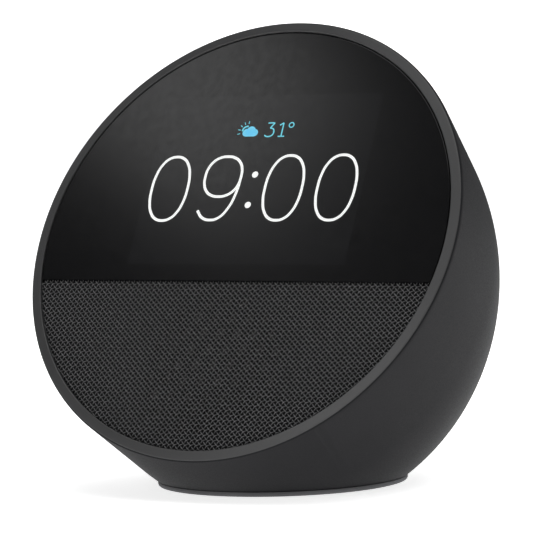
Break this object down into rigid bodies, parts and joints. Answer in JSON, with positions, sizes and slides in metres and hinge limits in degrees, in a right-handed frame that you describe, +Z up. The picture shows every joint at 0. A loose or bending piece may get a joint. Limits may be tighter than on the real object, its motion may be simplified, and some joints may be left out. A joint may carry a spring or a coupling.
{
  "type": "smart display",
  "caption": "Round smart display: tilted circular face with a dark glass upper part over a mesh loudspeaker grille, ovoid housing, press keys on the crown and a flat round foot.",
  "frame": {"origin": "centre of the foot's underside, on the table", "axes": "+Z up; the face looks along -Y and leans back; +X is to the right as seen from the front"},
  "size_m": [0.1134, 0.0961, 0.109],
  "materials": {
    "shell_plastic": "fine satin texture",
    "ring_plastic": "satin",
    "inner_plastic": "moulded",
    "cover_glass": "polished, dark",
    "touch_film": "clear film",
    "foam_tape": "foam",
    "lcd": "polished",
    "light_guide": "white, diffuse",
    "steel": "stamped",
    "flex_circuit": "amber film",
    "dark_package": "moulded package",
    "mesh_fabric": "open woven mesh",
    "ferrite": "sintered",
    "cone_paper": "pressed, coated",
    "soft_rubber": "smooth",
    "spider_cloth": "impregnated cloth",
    "copper": "wound wire",
    "wire_red": "insulated wire",
    "wire_grey": "insulated wire",
    "circuit_board": "solder mask",
    "thermal_pad": "soft pad",
    "aluminium": "rolled sheet",
    "connector_plastic": "moulded",
    "key_plastic": "satin",
    "contact_metal": "plated",
    "ballast_steel": "turned",
    "foot_rubber": "matt"
  },
  "bodies": {
    "housing": {"rear_shell": "shell_plastic", "bezel_ring": "ring_plastic", "front_frame": "inner_plastic", "display_glass": "cover_glass", "touch_sensor": "touch_film", "display_adhesive": "foam_tape", "lcd_panel": "lcd", "lcd_backlight": "light_guide", "lcd_bracket": "steel", "lcd_flex": "flex_circuit", "light_sensor": "dark_package", "grille_fabric": "mesh_fabric", "grille_plate": "inner_plastic", "speaker_gasket": "foam_tape", "speaker_basket": "inner_plastic", "speaker_magnet": "ferrite", "speaker_top_plate": "steel", "speaker_yoke": "steel", "speaker_surround": "soft_rubber", "speaker_spider": "spider_cloth", "speaker_box": "inner_plastic", "speaker_screws": "steel", "speaker_lead": "wire_red", "main_board": "circuit_board", "processor": "dark_package", "memory_chips": "dark_package", "thermal_pad": "thermal_pad", "heat_spreader": "aluminium", "rf_shield": "steel", "board_connectors": "connector_plastic", "board_screws": "steel", "antennas": "copper", "frame_screws": "steel", "button_carrier": "inner_plastic", "button_strip": "flex_circuit", "switch_bodies": "dark_package", "microphones": "steel", "carrier_screws": "steel", "power_board": "circuit_board", "jack_body": "dark_package", "jack_pin": "contact_metal", "jack_contacts": "contact_metal", "power_screws": "steel", "power_lead": "wire_grey", "base_plate": "inner_plastic", "ballast_disc": "ballast_steel", "foot_pad": "foot_rubber", "base_screws": "steel"},
    "volume_down_key": {"volume_down_cap": "key_plastic", "volume_down_plunger": "connector_plastic"},
    "mic_mute_key": {"mic_mute_cap": "key_plastic", "mic_mute_plunger": "connector_plastic"},
    "volume_up_key": {"volume_up_cap": "key_plastic", "volume_up_plunger": "connector_plastic"},
    "speaker_diaphragm": {"speaker_cone": "cone_paper", "dust_cap": "cone_paper", "voice_coil": "copper"}
  },
  "joints": [
    {"name": "volume_down_press", "type": "slide", "parent": "housing", "child": "volume_down_key", "axis": [0.2756, -0.5582, -0.7826], "range_m": [0, 0.0005], "stiffness_N_per_m": 2000},
    {"name": "mic_mute_press", "type": "slide", "parent": "housing", "child": "mic_mute_key", "axis": [0, -0.5807, -0.8141], "range_m": [0, 0.0005], "stiffness_N_per_m": 2000},
    {"name": "volume_up_press", "type": "slide", "parent": "housing", "child": "volume_up_key", "axis": [-0.2756, -0.5582, -0.7826], "range_m": [0, 0.0005], "stiffness_N_per_m": 2000},
    {"name": "diaphragm_stroke", "type": "slide", "parent": "housing", "child": "speaker_diaphragm", "axis": [0, -0.8771, 0.4802], "range_m": [-0.0015, 0.0015], "stiffness_N_per_m": 1200, "deforming": ["speaker_surround", "speaker_spider"]}
  ]
}
